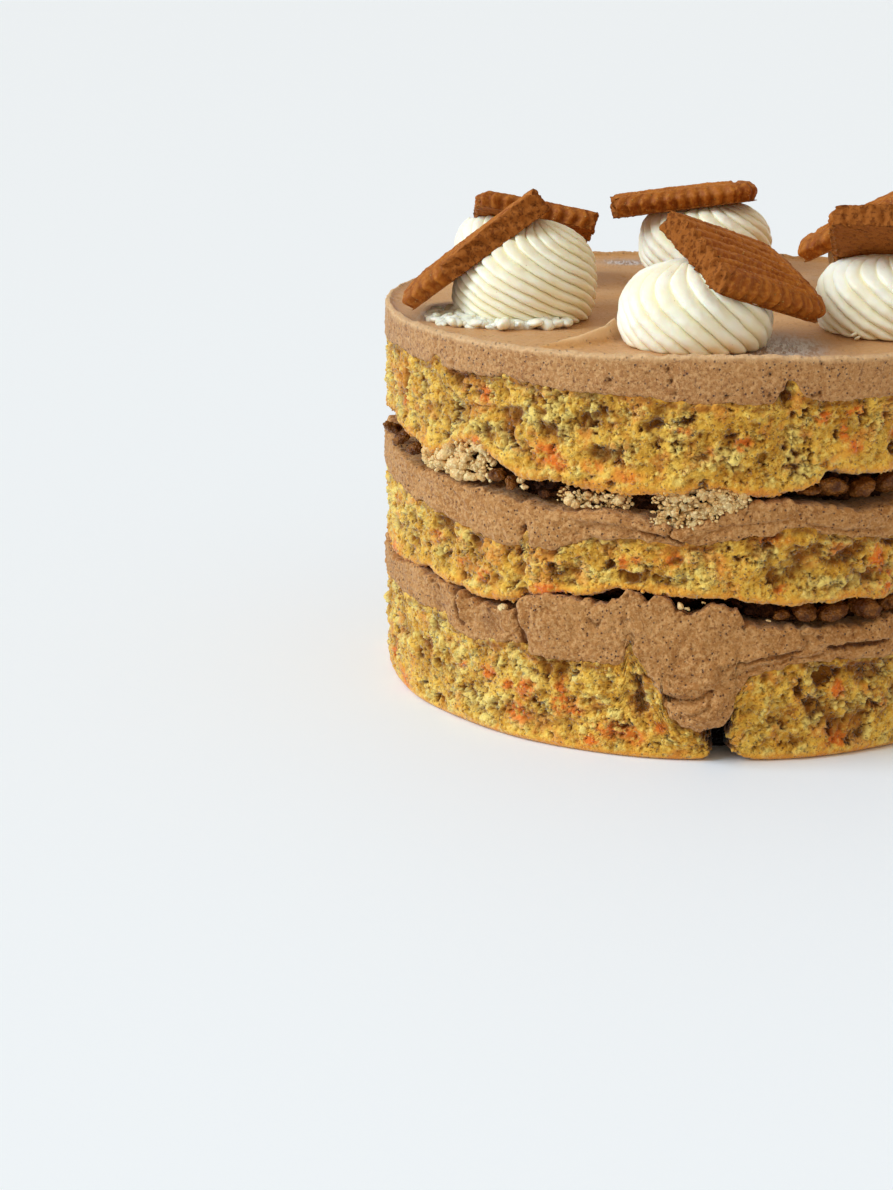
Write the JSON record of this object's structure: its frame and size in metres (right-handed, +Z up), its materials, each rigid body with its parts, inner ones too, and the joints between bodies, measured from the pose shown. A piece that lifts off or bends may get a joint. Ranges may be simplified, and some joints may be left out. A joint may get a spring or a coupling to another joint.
{
  "type": "layer cake",
  "caption": "Naked carrot cake with buttercream and crumb between its sponge layers, a frosted top, piped cream rosettes and pieces of biscuit pressed into them",
  "frame": {"origin": "on the cake's axis, in the plane that it stands on", "axes": "+Z up, -Y to the front that is shown, +X to its right"},
  "size_m": [0.1519, 0.1519, 0.1187],
  "materials": {
    "sponge": "open golden crumb flecked with carrot",
    "spiced_buttercream": "matte light brown buttercream",
    "crumb": "loose pale and brown crumb",
    "white_cream": "smooth ivory piped cream",
    "biscuit": "dry caramelised biscuit"
  },
  "bodies": {
    "root": {"sponge_bottom": "sponge", "cream_lower": "spiced_buttercream", "crumb_lower": "crumb", "sponge_middle": "sponge", "cream_upper": "spiced_buttercream", "crumb_upper": "crumb", "sponge_top": "sponge", "frosting_top": "spiced_buttercream", "rosette_front": "white_cream", "rosette_front_right": "white_cream", "rosette_back_right": "white_cream", "rosette_back": "white_cream", "rosette_back_left": "white_cream", "rosette_front_left": "white_cream", "biscuit_front": "biscuit", "biscuit_front_right": "biscuit", "biscuit_back_right": "biscuit", "biscuit_back": "biscuit", "biscuit_back_left": "biscuit", "biscuit_front_left": "biscuit"}
  },
  "joints": []
}
